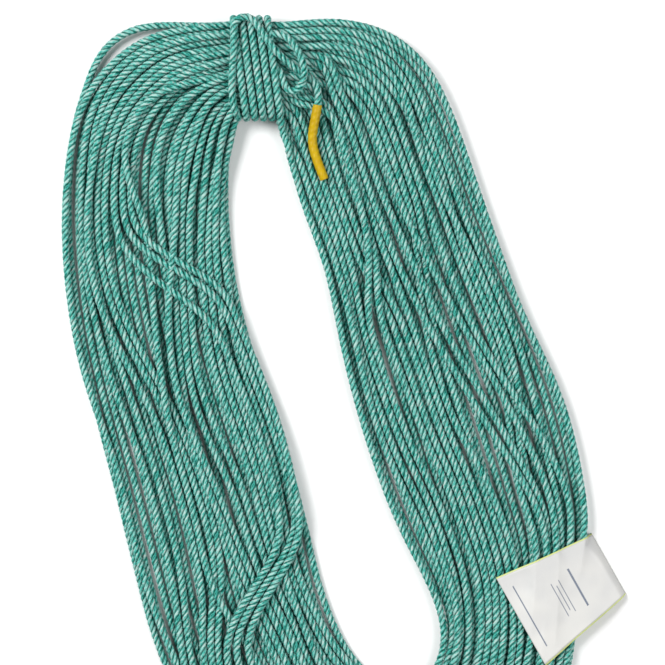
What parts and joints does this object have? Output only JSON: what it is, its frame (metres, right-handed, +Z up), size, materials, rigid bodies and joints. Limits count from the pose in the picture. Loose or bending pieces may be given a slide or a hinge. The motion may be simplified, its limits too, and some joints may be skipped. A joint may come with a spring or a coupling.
{
  "type": "climbing rope hank",
  "caption": "Long laid climbing rope put away as a flat oval hank, its loops bound at one end by turns of its own tail, with a sleeve on that tail and a folded label on one limb.",
  "frame": {"origin": "on the ground under the middle of the hank's box", "axes": "+Z up from the ground that the hank lies on, +Y along the hank towards its binding, +X towards the limb with the label"},
  "size_m": [0.4639, 0.8146, 0.0429],
  "materials": {
    "rope": "twisted yarn, satin",
    "sleeve": "smooth, slightly glossy",
    "label_face": "coated paper",
    "label_backing": "coated paper"
  },
  "bodies": {
    "hank": {"rope_hank": "rope", "binding_wraps": "rope", "rope_tail": "rope", "locking_bight": "rope", "end_sleeve": "sleeve", "label_lower_leaf": "label_face"},
    "label_leaf": {"label_upper_backing": "label_backing", "label_upper_face": "label_face"}
  },
  "joints": [
    {"name": "label_fold", "type": "hinge", "parent": "hank", "child": "label_leaf", "pos_m": [0.22349, -0.22179, 0.00065], "axis": [-0.2419, 0.9703, 0], "range_deg": [0, 150]}
  ]
}
